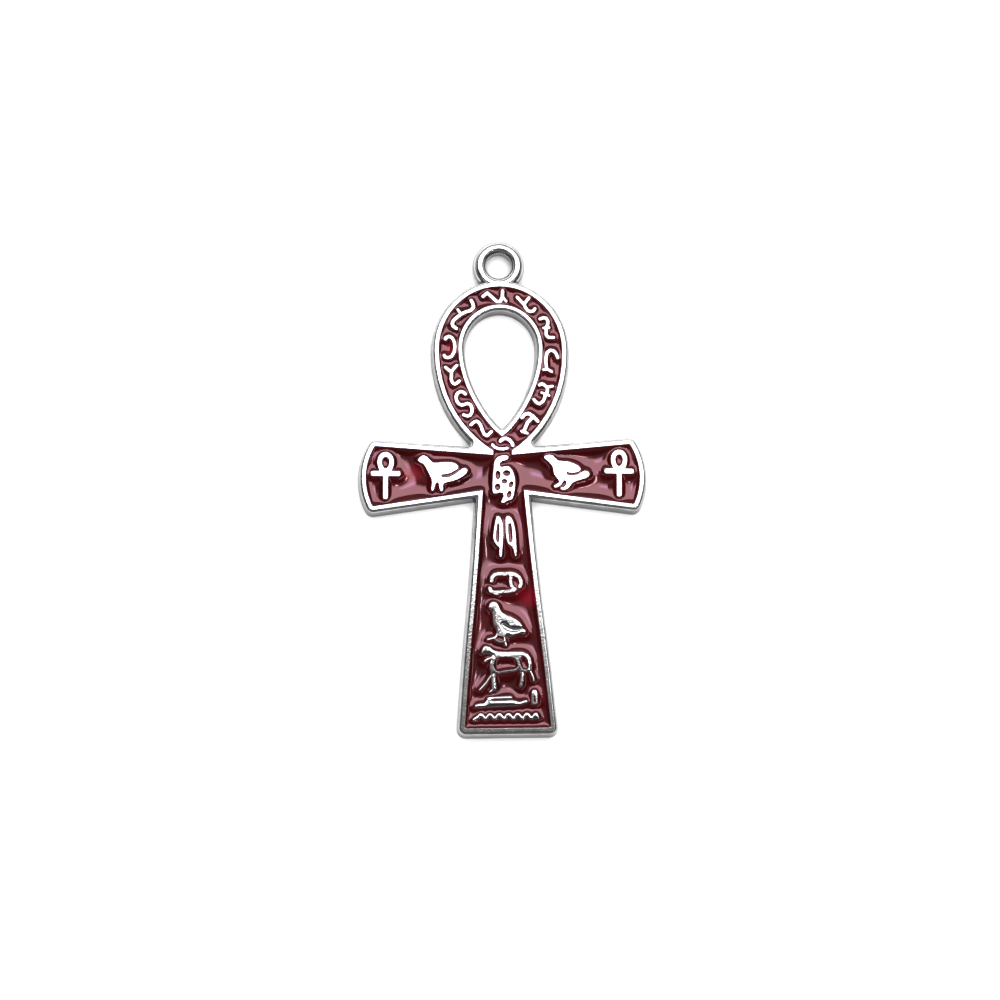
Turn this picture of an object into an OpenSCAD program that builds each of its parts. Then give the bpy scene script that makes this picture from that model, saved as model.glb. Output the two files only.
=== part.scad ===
// Ankh pendant: one cast metal body with a teardrop loop, two flaring arms, a long stem and a
// hanging ring. Its face is sunk between raised rims, raised figures stand on the sunk floor, and
// enamel fills the floor round them.
// It lies on its flat back. X runs across the arms, Y towards the hanging ring, Z out of the face.

/* [Whole pendant] */
// Length over the foot and the hanging ring
overall_len = 52.4; // [48:0.1:64]
// Width over the two arms, at the back
arm_span = 30; // [27:0.1:38]
// Thickness from the flat back to the rims
body_t = 1.85; // [1.6:0.05:3.5]
// How far the back edge stands out past the face edge
wall_lean = 0.3; // [0.05:0.05:0.5]
// Width of the raised outer rim
rim_w = 0.52; // [0.35:0.01:0.8]
// Depth of the sunk face below the rims
recess_depth = 1.3; // [0.6:0.05:1.4]

/* [Hanging ring] */
// Diameter of the hanging ring's hole
ring_hole_d = 2.6; // [1.6:0.1:4]
// Radial thickness of the hanging ring
ring_wire_w = 1.4; // [0.9:0.05:2.4]
// Width of the flat crest on the ring
ring_crest_w = 0.35; // [0.15:0.05:0.6]
// Width of the ring's flat back
ring_back_w = 0.6; // [0.3:0.05:0.9]
// Distance from the ring's middle down to the top edge of the loop
ring_seat = 1.8; // [1.2:0.05:2.4]

/* [Loop] */
// Width of the teardrop loop at its widest, on the face
loop_w = 13.9; // [12:0.1:18]
// Height of the loop's round crown above its widest place
loop_crown = 7.4; // [6:0.1:9]
// Distance from the loop's top edge down to the pointed end of its outline
loop_len = 19.2; // [18.4:0.1:21]
// Width of the loop's band at the sides, rims and enamel together
band_w = 3.02; // [2.6:0.02:3.6]
// Width of the loop's band at the top
band_top_w = 2.93; // [2.6:0.02:3.6]
// Height of the hole's round crown above its widest place
hole_crown = 4.25; // [3.4:0.05:5]
// Length of the teardrop hole
hole_len = 13.05; // [11:0.05:14]
// Width of the rim round the teardrop hole
hole_rim_w = 0.46; // [0.3:0.01:0.8]
// Radius of the hole's lower tip
hole_tip_r = 0.4; // [0.1:0.05:1]
// Width of the enamel's neck between the loop and the arms
neck_w = 1.9; // [1:0.05:3]

/* [Arms] */
// Distance from the loop's top edge down to the arms' middle line
arm_drop = 20.3; // [19.5:0.1:23]
// Height of the arms at the pendant's middle
arm_mid_h = 4.4; // [3.6:0.1:5.5]
// How far an arm's upper edge climbs towards its end
arm_rise = 1.25; // [0.4:0.05:2]
// How far an arm's lower edge drops towards its end
arm_fall = 2.05; // [0.4:0.05:2.6]
// Radius of the bowed end of an arm
end_bow_r = 7.2; // [5.5:0.1:12]
// Radius of the corners of the arms and the foot
corner_r = 0.65; // [0.55:0.05:1.2]
// Radius in the notch between the loop and an arm
notch_r = 0.55; // [0.2:0.05:0.8]

/* [Stem] */
// Width of the stem just below the arms
stem_top_w = 5.3; // [4.6:0.1:7]
// Width of the stem at its foot
foot_w = 9.95; // [8.4:0.05:12]

/* [Raised figures] */
// Width of the thin raised strokes
stroke_w = 0.38; // [0.25:0.01:0.5]
// Height of a small ankh
ankh_h = 5; // [4:0.1:5.4]
// Height of a standing bird
bird_h = 3.8; // [3:0.1:4.2]
// Height of the spotted figure in the crossing
spotted_h = 5; // [4:0.1:5.4]
// Height of the two reed leaves
reed_h = 4.35; // [3.6:0.05:5]
// Width of the folded loop below the reeds
fold_w = 3.8; // [3:0.1:4.2]
// Height of the quail
quail_h = 4.9; // [4:0.05:5.4]
// Length of the cat
cat_len = 5.9; // [4.8:0.1:6.4]
// Length of the forked tool under the cat
tool_len = 5.7; // [4.6:0.1:6]
// Height of the small post beside the tool
post_h = 1.5; // [1.1:0.1:1.8]
// Length of the water ripple above the foot
ripple_len = 6.6; // [5.5:0.05:7.2]
// How far the cat's head reaches up beside the quail's feet
cat_tuck = 0.25; // [0:0.05:0.6]
// Size of a curl on the loop's band
curl_size = 2.5; // [2:0.05:2.8]
// Depth of the groove under the quail's wing
groove_depth = 0.4; // [0.1:0.05:0.5]

/* [Enamel] */
// How far the enamel lies below the rims
enamel_drop = 0.12; // [0.05:0.01:0.4]
// Gap between the enamel and the metal
enamel_gap = 0.03; // [0.02:0.005:0.06]

/* [Hidden] */
// What a cut runs past the face that it starts from
past = 0.5;
// Half the width of the thread that a stroke is grown from
thread = 0.01;
// Half the width of the narrowest channel that the enamel runs into
pool_soft = 0.04;
// Between these shares of its height the ring's flanks are upright, and round over beyond them
ring_low = 0.38;
ring_high = 0.58;
// Degrees between the corners of the ring's rounded section
bulge_turn = 22.5;
// Where the crest's inner edge lies, as a share of the ring's thickness from its hole
ring_crest_at = 0.39;
// Steps in a quarter of a loop's outline
curve_steps = 12;
// Steps in height of the leaning outer wall
wall_steps = 3;
// Where the loop's side leaves the widest place, where it nears the point, and how steeply
side_hold = 0.6;
tip_hold = 0.34;
tip_level = 0.91;
// The same for the hole
hole_side_hold = 0.46;
hole_tip_hold = 0.3;
hole_tip_level = 0.9;
// Height of a bowed arm end's crown below the arms' middle line
bow_drop = 0.65;
// The stem's flare: share of its length, share of its gain in width
FLARE = [[0, 0], [0.27, 0.237], [0.44, 0.409], [0.61, 0.611], [0.78, 0.794], [1, 1]];

ring_hole_r = ring_hole_d / 2;
ring_r = ring_hole_r + ring_wire_w;
ring_y = overall_len / 2 - ring_r;
loop_top = ring_y - ring_seat;
loop_y = loop_top - loop_crown;
hole_top = loop_top - band_top_w;
hole_y = hole_top - hole_crown;
arm_y = loop_top - arm_drop;
arm_reach = arm_span / 2 - wall_lean;
foot_y = wall_lean - overall_len / 2;
stem_start = arm_y - arm_mid_h / 2;
stem_len = stem_start - foot_y;
floor_z = body_t - recess_depth;
enamel_z = floor_z + enamel_gap;
enamel_top = body_t - enamel_drop;

// Charts: each figure is charted on squares, from its lower left corner.
// The squares are a little taller than wide, and the figures lean to the right by a degree.
square_tall = 1.02;
figure_turn = -1.1;

// Outlines of the standing birds on the left and on the right arm, 35.4 squares high
bird_squares = 35.4;
BIRD_LEFT = [
    [0.7, 30.5], [2.5, 33.2], [5, 35], [7, 35.4], [10, 34], [12.5, 31], [15.5, 28.3], [20, 28.3],
    [26, 29], [32, 29], [37, 28], [40.3, 25], [39.5, 22.5], [36.5, 20.5], [32, 18.2], [28, 17.2],
    [24.5, 16.9], [23.3, 15.7], [24.5, 14.3], [28, 14.3], [32, 15], [36, 17], [40, 20], [44, 23],
    [46.8, 23.4], [49.3, 21.3], [47.7, 18], [44, 15], [40, 12.7], [35, 10.8], [30, 9.7],
    [26.5, 8.5], [25.3, 6.5], [25.5, 2.5], [24.5, 0.5], [22.8, 1], [21.8, 4], [21.2, 8], [20, 9.5],
    [18.3, 8], [17, 4], [16, 1.2], [14.3, 1], [14, 4], [14.7, 9], [14, 13], [11.5, 18], [9, 23],
    [6.5, 26.7], [3, 28.5]
];
BIRD_RIGHT = [
    [0.5, 33], [2.5, 34.5], [6, 35.2], [9, 34.5], [11.5, 32], [14, 29.5], [19, 29], [24, 28.7],
    [29, 27], [33, 25.2], [35.8, 22.5], [36, 20.2], [33, 18.5], [29, 17.4], [25, 17.7], [23, 18.4],
    [22, 17], [23.5, 15.8], [28, 15.2], [33, 16.2], [37, 18.7], [40, 20], [43, 19.2], [44.8, 17],
    [44, 14.5], [41, 12.8], [36, 11], [31, 9.5], [27.5, 7.5], [26, 5], [23, 2], [19, 0.6],
    [16.6, 1.6], [16.2, 3.4], [19.3, 3.8], [21.7, 6], [22.2, 8.8], [20.5, 10.5], [18.7, 9],
    [17.5, 6.2], [15, 4.2], [12, 2.9], [10, 3.7], [10, 5.2], [13, 7], [15.3, 8.7], [14, 11.5],
    [12, 13.5], [10.3, 16], [9.5, 20], [8.5, 24], [6, 27], [3.5, 29.5], [1, 31.2]
];

// The small ankh, 48 squares high: its head and the head's eye by their middle's height, half
// width and half height, its bar and its shaft by their middle's height, width and height
ankh_squares = 48;
ANKH_HEAD = [36, 8.2, 12];
ANKH_EYE = [37, 3.6, 5.9];
ANKH_BARS = [[26, 29.6, 5.4], [14, 5.1, 28]];
// Radius at the ends of the ankh's bars, in squares
ankh_round = 2;
// How much wider an egg is above its middle, as a share of its half width
egg_swell = 0.15;

// Outline of the spotted figure, 47 squares high
spotted_squares = 47;
SPOTTED = [
    [16.8, 46], [16, 43.7], [14, 42.4], [10.5, 41.8], [8.3, 40], [8, 37.5], [9.3, 35.7], [12, 36.4],
    [15, 37], [17.5, 36.2], [20, 33.5], [22, 29], [23, 24], [23.2, 19], [22.7, 14], [21.8, 9],
    [20.5, 5], [18, 3.7], [15, 3], [12.5, 1], [10, 0.8], [9.3, 2.2], [10.8, 5], [11.8, 8],
    [11, 10.7], [8, 11], [5, 10], [2, 10], [1, 12], [1, 19], [1.3, 27], [2, 33], [2.3, 39],
    [3.5, 43], [6, 45.7], [9.5, 47.1], [13.5, 47.5], [16, 47]
];
// Its lower left corner from the crossing's middle, as shares of its height
SPOTTED_AT = [-0.25, -0.68];
// Its spots: x, y, half width, half height, turn
SPOTS = [
    [6.3, 28.2, 2.4, 4.3, 0], [14.8, 30, 3.7, 2.8, 0], [12.6, 22, 2.8, 2.2, 0],
    [19, 19, 1.9, 3.2, -20], [6, 16.5, 2.7, 3.3, 0], [17.2, 9.3, 2.1, 3.5, -15]
];

// The two reed leaves, 41 squares high, each with a slot
reed_squares = 41;
REEDS = [
    [
        [3.8, 40.2], [5.5, 40.8], [7.8, 39.3], [9.5, 35.5], [10.5, 30], [10.7, 22], [10, 12],
        [9.5, 7], [9.2, 2], [7.8, 0.5], [6.5, 2], [6.5, 6], [6.8, 10], [4.5, 12], [1.5, 16],
        [0.5, 20], [1, 26], [2, 32], [3, 37]
    ],
    [
        [13.5, 40.4], [15.5, 41], [18, 39.5], [20, 36.5], [21.5, 31], [22.5, 25], [23, 17],
        [23.5, 9], [23.5, 3], [22.3, 1], [21.2, 4], [20.5, 8.5], [18.5, 11.5], [16.5, 13],
        [14.5, 15], [13.5, 19], [12.7, 25], [12.5, 32], [12.6, 38.5]
    ]
];
REED_SLOTS = [
    [[4.8, 33.5], [6.5, 33.5], [6.5, 22], [6.3, 17], [5, 15], [3.5, 18], [3.7, 25], [4.5, 31]],
    [[15.5, 33.5], [18, 33.7], [19, 27], [19.3, 20], [19, 16.5], [17.5, 15], [16.3, 16.2], [15.5, 25]]
];

// The folded loop, 36 squares wide and 22.8 tall, in strokes: width as a share of stroke_w, then
// the path
fold_squares = 36;
fold_rows = 22.8;
FOLD = [
    [0.97, [
        [5.8, 15.5], [6.3, 18.5], [8.5, 21.2], [12, 22.2], [19, 22.4], [24, 22.8], [28.5, 22],
        [32.3, 19.7], [34.5, 16], [34.6, 12], [33.3, 10]
    ]],
    [0.85, [[24.8, 21], [24.4, 16], [24.9, 11.5], [26.8, 8.7], [29.3, 7.2]]],
    [0.82, [[29, 6.9], [24, 5.8], [19, 5.3], [14, 4.8], [9, 4.5], [5, 5.2]]],
    [1.05, [[4.2, 8.2], [5, 6]]],
    [0.55, [[8, 3.7], [12, 2.2]]]
];

// The quail, 48 squares high, of which its outline fills 46.7: body, wing groove, legs and the
// window between the legs
quail_squares = 48;
quail_rows = 46.7;
QUAIL = [
    [10, 46.7], [12.5, 46], [15, 42.5], [16.5, 38.5], [18, 36], [22, 33.7], [27, 31.8], [32, 29.2],
    [36, 26.2], [38.5, 23], [39, 20], [40, 19.5], [42.3, 17.5], [42, 14.2], [39.5, 14.2],
    [37, 15.4], [33, 14], [28, 12], [22, 11], [17, 12], [13.5, 13.5], [13.2, 15.5], [12.8, 18],
    [10.3, 22], [9.3, 28], [9, 33], [8.3, 37], [6, 38.5], [4.8, 40.5], [5.5, 43], [7.5, 45.7]
];
QUAIL_GROOVE = [
    [18, 23], [20, 20.5], [24, 18], [29, 17], [34, 17.2], [38.5, 19.5], [36, 19.2], [31, 19],
    [27, 20.4], [24, 22.5], [21.5, 24.3], [19, 24.5]
];
QUAIL_LEGS = [
    [0.58, [[21, 12], [21.3, 7], [22.5, 2.7]]],
    [0.5, [[10.5, 9.2], [13.5, 7.2], [17, 6.2], [21, 6.7]]],
    [0.58, [[14, 15], [13, 12], [10, 10], [4, 8.3]]]
];
QUAIL_WINDOW = [
    [10.5, 9.5], [13.5, 7.2], [17, 6.2], [21, 6.7], [21, 12.5], [14, 15], [13, 12]
];

// The standing cat, 57 squares long and 46.7 tall: filled parts, strokes, and the windows in its
// body
cat_squares = 57;
cat_rows = 46.7;
CAT = [
    [
        [8, 46.7], [11, 46], [14, 43], [18, 41], [16, 37.5], [12, 38.5], [8.5, 39], [6, 38],
        [3.3, 39.5], [4.5, 43], [6.3, 46]
    ],
    [[15, 39], [44, 39], [43, 35], [41, 33.5], [38, 34.5], [33, 35.7], [27, 36.2], [22, 35.7], [17, 34]]
];
CAT_STROKES = [
    [0.95, [
        [11, 44], [14, 41.3], [18, 39.8], [27, 39.4], [37, 39.7], [44, 39.5], [48.5, 37.5],
        [51, 34], [51.8, 29], [51.6, 24]
    ]],
    [0.55, [[51.6, 24], [52.5, 21], [54.5, 17], [55.5, 12.5]]],
    [0.6, [[7, 31.5], [10, 33.7], [15, 35]]],
    [1, [[15.5, 36], [15.3, 33], [13.8, 29], [13.8, 24], [15, 19]]],
    [0.55, [[15, 26], [16, 23.5], [18, 21], [21, 20], [24, 21], [32, 22.2], [37, 22.7], [41, 26]]],
    [0.68, [[38, 35], [40, 32], [41.3, 28], [42.5, 24]]],
    [0.6, [[41.5, 26], [44, 23], [47, 22], [51, 23.5]]],
    [1.15, [[15.5, 20], [15.8, 12], [16.3, 4.5]]],
    [0.5, [[15.5, 4], [11.8, 1.2]]],
    [0.52, [[13.5, 17.5], [12, 15.5], [9, 11], [5.5, 7], [1.8, 3]]],
    [0.9, [[43, 23], [44.3, 18], [43.5, 12], [42.5, 7.5]]]
];
CAT_WINDOWS = [
    [[14.5, 36], [39, 36], [41, 27], [37, 22.7], [24, 21], [18, 21], [14, 24]],
    [[41, 30], [40, 38], [50, 38], [52, 30], [51, 23.5], [45, 22.5], [42, 26]]
];

// The forked tool, 55 squares long and 12 tall, and the post, 14 squares high
tool_squares = 55;
tool_rows = 12;
TOOL = [
    [1.4, 1], [1.2, 2.7], [2.6, 3.6], [6, 4.7], [11, 5.3], [12.9, 7.4], [13.8, 10], [15.5, 11.1],
    [21, 11.4], [30, 11.8], [37.6, 12], [38.8, 10.8], [37.6, 9.4], [30, 9.1], [21, 8.9], [18, 8.5],
    [18.2, 7.2], [24, 7.4], [31, 7.8], [37, 8.4], [41, 7.9], [46, 6.4], [50, 8], [52.6, 8.5],
    [54, 7.4], [53.2, 5.8], [50, 4.8], [46, 3.5], [40, 2.4], [30, 1.8], [20, 1.4], [13, 0.9],
    [8, 0.2], [3, 0]
];
post_squares = 14;
POST = [[1, 0], [1, 10], [2, 13.2], [4, 14], [6, 13.2], [7, 10], [7.3, 0.4], [5.6, 0], [3.2, 0]];
// How far the post's foot stands above the tool's, as a share of its height
POST_LIFT = 0.22;
POST_SLOT = [[3.4, 9], [4.6, 9], [5.1, 1.5], [3.4, 1.5]];

// The ripple: its crests, its height as a share of its length, and its stroke as a share of stroke_w
ripple_crests = 7;
ripple_swing = 0.035;
ripple_stroke = 0.86;
ripple_steps = 8;
// Where the ripple starts and the outline of its last, filled crest: shares of a crest's pitch and
// of the swing
RIPPLE_START = [-0.75, -1.3];
RIPPLE_END = [[-0.4, -1.3], [-0.15, 1.2], [0.15, 1.2], [0.38, -1.3]];

// The curls on the loop's band: side, place along the band from 0 at the top through 1 at its
// widest to 2 at the tip, share from the hole to the outer edge, then strokes in squares from
// the curl's middle, each with its width as a share of stroke_w
curl_squares = 24;
CURLS = [
    [-1, 0.065, 0.44, [
        [1, [[-11.5, 0.5], [-7, 4.2], [-2, -0.5], [2.5, -4.5], [6, -4.5], [8, 0], [8.3, 6.5]]],
        [0.8, [[8.5, 0], [12, -4.3]]]
    ]],
    [1, 0.345, 0.44, [
        [0.95, [[-8.5, 7], [-2, 0]]],
        [0.95, [[3.5, 6.5], [-1.5, 0], [-0.5, -3], [2, -6.5], [5, -7.5], [8, -6.8], [9.5, -4.5]]]
    ]],
    [1, 0.74, 0.44, [
        [0.95, [
            [-6.5, 9], [-3, 10.3], [0, 10], [1.7, 7], [1.5, 3.5], [0, 1], [-0.2, -3], [-0.2, -7],
            [2, -9.5], [7.5, -9.5]
        ]],
        [0.8, [[-3, 0], [3, 0.5]]]
    ]],
    [1, 1.075, 0.43, [
        [0.95, [[7.5, 2], [6, 6], [3.5, 9], [0, 9.7], [-3, 7.5], [-4.3, 3], [-4.5, -2], [-4, -7.5]]],
        [0.85, [[-7, -10], [-3, -9.5], [1.5, -12]]]
    ]],
    [1, 1.325, 0.5, [
        [0.95, [
            [-5, 9], [-2.5, 10.5], [0, 9], [3, 6.5], [3, 2], [1, 0], [0.5, -3], [-1, -7], [-5, -10],
            [-8, -8.5], [-10.5, -5.5]
        ]],
        [0.85, [[3, 7], [8.5, 8]]],
        [0.75, [[-3, 1.5], [1, 0], [5, -1.5]]]
    ]],
    [1, 1.595, 0.52, [
        [1, [[-6.5, 5], [-3.5, 8.5], [0, 9.5], [4, 7], [9.5, 1.5]]],
        [1, [[3, 4.5], [-1, 0], [-3, -5], [-4.5, -8]]],
        [0.85, [[-7, -8.5], [-1, -10.5]]]
    ]],
    [-1, 0.51, 0.44, [
        [1, [
            [7.5, 13], [9.5, 9], [10, 5.5], [7, 2.5], [2, 1], [-2, -1], [-6, -4], [-10, -7.5],
            [-11.5, -11], [-10.5, -13.5], [-7, -16]
        ]],
        [0.8, [[-6, 3.5], [-3, -0.5]]]
    ]],
    [-1, 0.98, 0.43, [
        [1.1, [[-5, 9], [-4, 10.5]]],
        [0.95, [
            [-4, 10.5], [-1, 11.7], [2, 10], [4, 6], [4.7, 1], [4, -4], [1.5, -8.5], [-2, -10],
            [-5, -9.5], [-6.2, -7.5]
        ]]
    ]],
    [-1, 1.18, 0.48, [
        [0.95, [[-7, 8.5], [-4, 6], [-1.2, 4.2]]],
        [0.95, [
            [4.5, 10.5], [2, 8], [-0.8, 4.2], [-1.2, -3.5], [0, -7], [2.5, -8.5], [5, -7], [7, -5]
        ]]
    ]],
    [-1, 1.415, 0.46, [
        [0.95, [
            [1, 10], [-1, 12], [-4, 12.5], [-7, 11], [-8.5, 7.5], [-8, 3.5], [-6, 0.5], [-3, -1.2],
            [0, -0.5], [3, 0.8], [6, -0.5], [7.5, -4], [7.5, -8], [6, -11], [3, -12], [-1, -10.8]
        ]]
    ]],
    [-1, 1.66, 0.5, [
        [0.95, [
            [-9.5, 3], [-7, 5.5], [-4, 6.8], [-1.5, 5.5], [0.5, 2], [2, -2.5], [4, -6.5],
            [6.5, -7.8], [8.5, -6], [11, -3.5]
        ]]
    ]],
    [1, 2, 0.43, [
        [1.02, [[-2, 2.5], [0, 4.7], [3.5, 5.5], [7, 4], [9.5, 1], [10.3, -1.5]]],
        [0.85, [[-10, -1], [-7.5, -3.5], [-4, -5], [1, -5.3], [5, -4.3]]]
    ]]
];

// Plain helpers
function flipped(p) = [for (i = [len(p) - 1:-1:0]) p[i]];
function mixed(a, b, share) = a + (b - a) * share;
function bezier(a, b, c, d, t) =
    a * pow(1 - t, 3) + 3 * b * t * pow(1 - t, 2) + 3 * c * t * t * (1 - t) + d * pow(t, 3);
function charted(rows, unit) = [for (p = rows) [p[0] * unit, p[1] * unit * square_tall]];

// A quarter of an oval round a middle, from an angle on
function bulge(middle, half, start) = [
    for (a = [start:bulge_turn:start + 90]) middle + [half[0] * cos(a), half[1] * sin(a)]
];

// A line at distance d beside a path
function way(p, i) = p[min(i + 1, len(p) - 1)] - p[max(i - 1, 0)];
function beside(p, d) = [
    for (i = [0:len(p) - 1]) p[i] + d * [-way(p, i)[1], way(p, i)[0]] / norm(way(p, i))
];

// A point on a teardrop: t runs from 0 at the top through 1 at the widest place to 2 at the tip.
// hold is [side hold, tip hold, tip level]
function drop_point(half_w, crown, tail, hold, t) =
    t < 1
        ? [half_w * sin(90 * t), crown * cos(90 * t)]
        : bezier(
            [half_w, 0], [half_w, -tail * hold[0]], [half_w * hold[1], -tail * hold[2]],
            [0, -tail], t - 1
        );
function drop_half(half_w, crown, tail, hold) = [
    for (i = [0:2 * curve_steps]) drop_point(half_w, crown, tail, hold, i / curve_steps)
];
function drop(half) = concat(half, [for (p = flipped(half)) [-p[0], p[1]]]);

loop_tail = loop_len - loop_crown;
loop_hold = [side_hold, tip_hold, tip_level];
hole_w = loop_w - 2 * band_w;
hole_tail = hole_len - hole_crown;
hole_hold = [hole_side_hold, hole_tip_hold, hole_tip_level];

// A point of the loop's band, from the hole's edge at share 0 to the outer edge at share 1
function band_point(side, t, share) =
    let(
        outer = [0, loop_y] + drop_point(loop_w / 2, loop_crown, loop_tail, loop_hold, t),
        inner = [0, hole_y] + drop_point(hole_w / 2, hole_crown, hole_tail, hole_hold, t),
        p = mixed(inner, outer, share)
    )
    [side * p[0], p[1]];

// Heights of an arm's edges at a share of its reach
function arm_top(share) = arm_y + arm_mid_h / 2 + arm_rise * share;
function arm_bottom(share) = arm_y - arm_mid_h / 2 - arm_fall * share;

// Flat outlines on the face
module loop_outline() {
    translate([0, loop_y])
        polygon(drop(drop_half(loop_w / 2, loop_crown, loop_tail, loop_hold)));
}

module hole_outline() {
    translate([0, hole_y])
        polygon(drop(drop_half(hole_w / 2, hole_crown, hole_tail, hole_hold)));
}

module arm_wedge(reach) {
    share = reach / arm_reach;
    polygon([
        [0, arm_bottom(0)], [reach, arm_bottom(share)], [reach, arm_top(share)], [0, arm_top(0)]
    ]);
}

module arm_outline() {
    bow_x = arm_reach - end_bow_r;
    arm_wedge(bow_x);
    intersection() {
        arm_wedge(arm_reach);
        translate([bow_x, arm_y - bow_drop])
            circle(end_bow_r, $fn = 96);
    }
}

module stem_outline() {
    right = [
        for (row = FLARE)
            [mixed(stem_top_w, foot_w, row[1]) / 2, stem_start - row[0] * stem_len]
    ];
    side = concat([[right[0][0], arm_y]], right);
    polygon(concat(side, [for (p = flipped(side)) [-p[0], p[1]]]));
}

module cross_outline() {
    offset(r = corner_r, $fn = 24)
        offset(delta = -corner_r) {
            arm_outline();
            mirror([1, 0])
                arm_outline();
            stem_outline();
        }
}

// The loop and the arms run into each other with a rounded notch
module face_outline() {
    offset(r = -notch_r, $fn = 24)
        offset(delta = notch_r) {
            loop_outline();
            intersection() {
                cross_outline();
                translate([-arm_reach, arm_y])
                    square([2 * arm_reach, arm_drop]);
            }
        }
    cross_outline();
}

// The sunk face, before the figures stand in it
module recess_outline() {
    difference() {
        union() {
            offset(delta = -rim_w)
                loop_outline();
            offset(delta = -rim_w)
                cross_outline();
            translate([-neck_w / 2, arm_y])
                square([neck_w, arm_mid_h / 2 + rim_w]);
        }
        offset(delta = hole_rim_w)
            hole_outline();
    }
}

// Raised strokes and figures
module stroke(path, w) {
    offset(r = w / 2 - thread, $fn = 8)
        polygon(concat(beside(path, thread), flipped(beside(path, -thread))));
}

module strokes(rows, unit) {
    for (row = rows)
        stroke(charted(row[1], unit), row[0] * stroke_w);
}

// An egg that is narrow below, by its row in squares
module egg(row, unit, steps) {
    translate([0, row[0] * unit])
        polygon([
            for (i = [0:steps - 1])
                let(a = 360 * i / steps)
                [row[1] * unit * sin(a) * (1 + egg_swell * cos(a)), row[2] * unit * cos(a)]
        ]);
}

// A place in an arm's field: share of the arm's reach, share of its height from the lower edge
function arm_place(side, along, up) =
    [side * along * arm_reach, mixed(arm_bottom(along), arm_top(along), up)];

// A place in the stem's field: distance down from the arms, share of the stem's half width there
function stem_place(down, across) =
    let(w = lookup(down / stem_len, FLARE))
    [across * mixed(stem_top_w, foot_w, w) / 2, stem_start - down];

module figure_at(place) {
    translate(place)
        rotate(figure_turn)
            children();
}

ankh_unit = ankh_h / ankh_squares;

module ankh_eye() {
    egg(ANKH_EYE, ankh_unit, 16);
}

module ankh_solid() {
    egg(ANKH_HEAD, ankh_unit, 28);
    for (bar = ANKH_BARS)
        translate([0, bar[0] * ankh_unit])
            offset(r = ankh_round * ankh_unit, $fn = 16)
                square(([bar[1], bar[2]] - 2 * ankh_round * [1, 1]) * ankh_unit, center = true);
}

module spots() {
    unit = spotted_h / spotted_squares;
    for (s = SPOTS)
        translate([s[0] * unit, s[1] * unit * square_tall])
            rotate(s[4])
                scale([s[2] * unit, s[3] * unit])
                    circle(1, $fn = 14);
}

// The stem's figures have their named sizes with the room that they were charted for, from the
// spotted figure's foot to the foot's rim, and grow and shrink with the room that there is
charted_room = 23.38;
spotted_foot = stem_start - arm_y - SPOTTED_AT[1] * spotted_h;
room = stem_len - rim_w - spotted_foot;
room_fit = room / charted_room;
reed_size = room_fit * reed_h;
fold_size = room_fit * fold_w;
quail_size = room_fit * quail_h;
cat_size = room_fit * cat_len;
tool_size = room_fit * tool_len;
post_size = room_fit * post_h;
ripple_size = room_fit * ripple_len;
tuck_size = room_fit * cat_tuck;
ripple_pitch = ripple_size / ripple_crests;

module ripple() {
    swing = ripple_swing * ripple_size;
    path = concat(
        [[RIPPLE_START[0] * ripple_pitch, RIPPLE_START[1] * swing]],
        [
            for (i = [-ripple_steps / 4:ripple_steps * (ripple_crests - 1)])
                [ripple_pitch * i / ripple_steps, swing * cos(360 * i / ripple_steps)]
        ]
    );
    last = (ripple_crests - 1) * ripple_pitch;
    stroke(path, ripple_stroke * stroke_w);
    polygon([for (p = RIPPLE_END) [last + p[0] * ripple_pitch, p[1] * swing]]);
}

// The figures stand one below another on the stem, from the spotted figure's foot to the foot's
// rim. Each one's height comes from its chart, and the gaps share the length that is left over.
// Shares: above the reeds, the fold, the quail, the tool and the ripple
GAPS = [0.242, 0.305, 0.091, 0.053, 0.127];
reed_tall = reed_size * square_tall;
fold_tall = fold_rows / fold_squares * fold_size * square_tall;
quail_tall = quail_rows / quail_squares * quail_size * square_tall;
cat_tall = cat_rows / cat_squares * cat_size * square_tall - tuck_size;
tool_tall = tool_rows / tool_squares * tool_size * square_tall;
ripple_tall = 2 * ripple_swing * ripple_size;
spare = room - reed_tall - fold_tall - quail_tall - cat_tall - tool_tall - ripple_tall;
reed_down = spotted_foot + GAPS[0] * spare + reed_tall;
fold_down = reed_down + GAPS[1] * spare + fold_tall;
quail_down = fold_down + GAPS[2] * spare + quail_tall;
cat_down = quail_down + cat_tall;
tool_down = cat_down + GAPS[3] * spare + tool_tall;
ripple_down = tool_down + GAPS[4] * spare + ripple_tall / 2;

// Where the figures stand
left_ankh_place = arm_place(-1, 0.829, 0.152);
right_ankh_place = arm_place(1, 0.816, 0.155);
left_bird_place = arm_place(-1, 0.609, 0.216);
right_bird_place = arm_place(1, 0.283, 0.13);
spotted_place = [0, arm_y] + SPOTTED_AT * spotted_h;
reed_place = stem_place(reed_down, -0.39);
fold_place = stem_place(fold_down, -0.57);
quail_place = stem_place(quail_down, -0.56);
cat_place = stem_place(cat_down, -0.657);
tool_place = stem_place(tool_down, -0.738);
post_place = stem_place(tool_down, 0.49) + [0, POST_LIFT * post_size];
ripple_place = stem_place(ripple_down, -0.57);

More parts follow.
